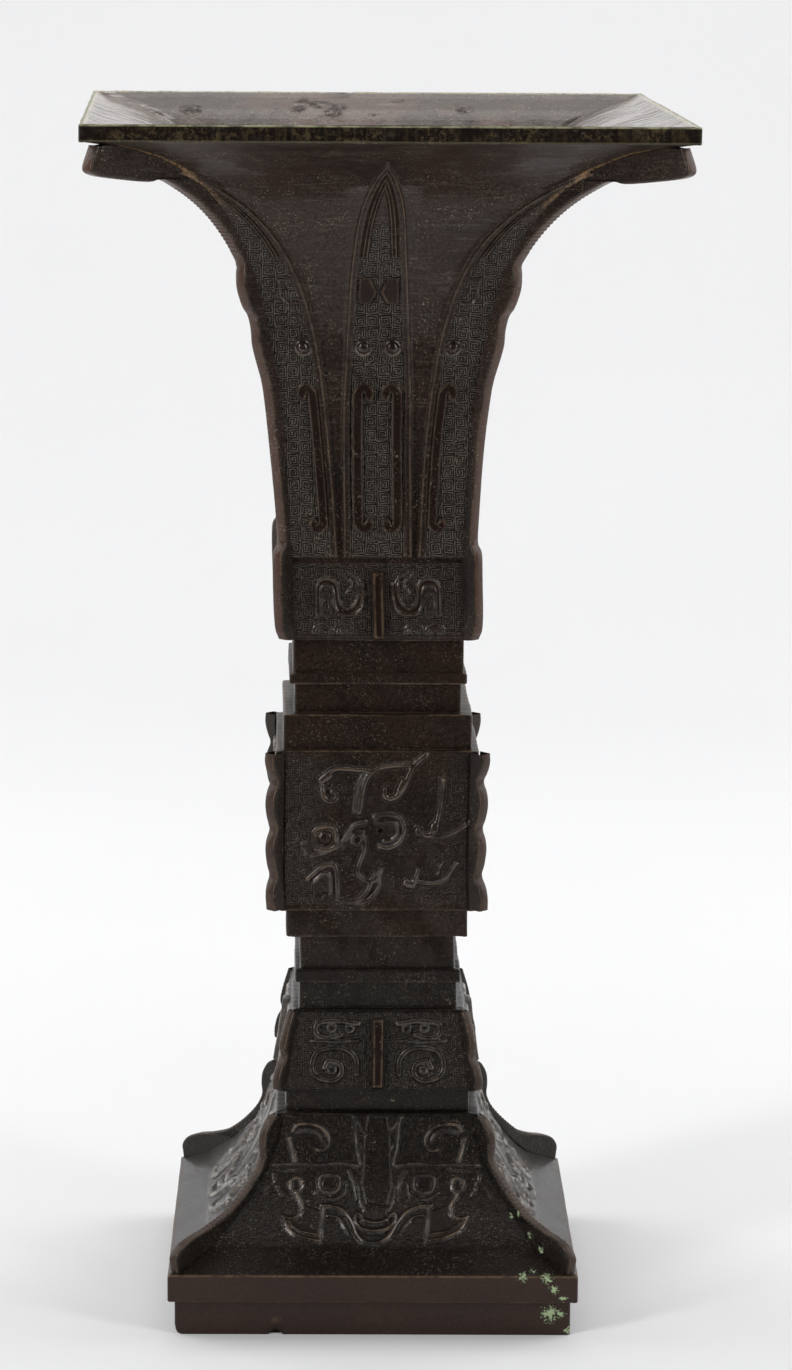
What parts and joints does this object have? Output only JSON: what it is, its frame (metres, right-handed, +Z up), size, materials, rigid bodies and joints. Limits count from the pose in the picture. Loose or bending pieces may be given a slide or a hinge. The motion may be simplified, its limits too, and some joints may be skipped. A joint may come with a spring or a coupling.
{
  "type": "gu vase",
  "caption": "Tall square bronze beaker vase: flaring mouth, blade-shaped neck relief, scalloped corner flanges, boxed waist and a spreading mask foot on a stepped plinth.",
  "frame": {"origin": "centre of the bounding box at ground level, under the base ring", "axes": "+Z up, +X to the right and -Y towards the viewer of the front face, which is the face with the worn dragon on its waist"},
  "size_m": [0.198, 0.198, 0.4],
  "materials": {
    "bronze": "dark brown-black patinated bronze with a satin sheen, worn golden-brown on raised edges, with a few spots of green corrosion"
  },
  "bodies": {
    "root": {"gu_vase": "bronze"}
  },
  "joints": []
}
